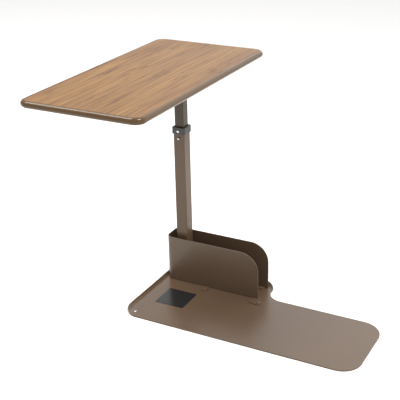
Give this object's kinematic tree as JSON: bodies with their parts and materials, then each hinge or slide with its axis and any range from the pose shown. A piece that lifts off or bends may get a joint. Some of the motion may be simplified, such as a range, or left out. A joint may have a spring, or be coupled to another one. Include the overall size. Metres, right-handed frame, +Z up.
{
  "type": "overbed table",
  "caption": "Overbed table with a flat steel base and tongue, magazine rack, telescoping square post with snap button, and a swivelling wood-grain top.",
  "frame": {"origin": "on the post's axis, at the underside of the base plate, level with the floor", "axes": "+Z up, +X out along the base's tongue, +Y along the long side of the tabletop, away from the wide front of the base"},
  "size_m": [0.776, 0.636, 0.579],
  "materials": {
    "powder_coat": "satin brown powder coat",
    "inner_coat": "satin brown powder coat, slightly darker",
    "wood_laminate": "satin wood-grain laminate",
    "backer_paper": "plain brown backing laminate",
    "particle_board": "raw pressed board",
    "edge_vinyl": "glossy brown vinyl edging",
    "black_plastic": "moulded black plastic",
    "nylon": "natural nylon",
    "zinc_steel": "bright zinc plate",
    "spring_steel": "blued spring steel",
    "label_film": "semi-gloss black film, blank"
  },
  "bodies": {
    "base": {"base_plate": "powder_coat", "corner_rivet": "zinc_steel", "blank_label": "label_film", "magazine_rack": "powder_coat", "rack_rivet_1": "powder_coat", "rack_rivet_2": "powder_coat", "rack_rivet_3": "powder_coat", "rack_rivet_4": "powder_coat", "foot_flange": "powder_coat", "foot_screw_1": "zinc_steel", "foot_screw_2": "zinc_steel", "foot_screw_3": "zinc_steel", "foot_screw_4": "zinc_steel", "foot_nut_1": "zinc_steel", "foot_nut_2": "zinc_steel", "foot_nut_3": "zinc_steel", "foot_nut_4": "zinc_steel", "outer_tube": "powder_coat", "collar": "black_plastic", "collar_rivet": "zinc_steel", "button_spring": "spring_steel"},
    "button": {"snap_button": "zinc_steel"},
    "mast": {"inner_tube": "inner_coat", "lower_glide": "black_plastic", "mast_plate": "powder_coat", "swivel_washer": "nylon", "pivot_bolt": "zinc_steel", "pivot_washer": "zinc_steel", "pivot_nut": "zinc_steel"},
    "tabletop": {"table_plate": "powder_coat", "table_screw_1": "zinc_steel", "table_screw_2": "zinc_steel", "table_screw_3": "zinc_steel", "table_screw_4": "zinc_steel", "table_screw_5": "zinc_steel", "table_screw_6": "zinc_steel", "backer_sheet": "backer_paper", "core_board": "particle_board", "top_laminate": "wood_laminate", "edge_band": "edge_vinyl"}
  },
  "joints": [
    {"name": "height_slide", "type": "slide", "parent": "base", "child": "mast", "axis": [0, 0, 1], "range_m": [0, 0.1524]},
    {"name": "table_swivel", "type": "hinge", "parent": "mast", "child": "tabletop", "pos_m": [0, 0, 0.56], "axis": [0, 0, 1], "continuous": true},
    {"name": "button_press", "type": "slide", "parent": "base", "child": "button", "axis": [0, 1, 0], "range_m": [0, 0.004], "stiffness_N_per_m": 800}
  ]
}
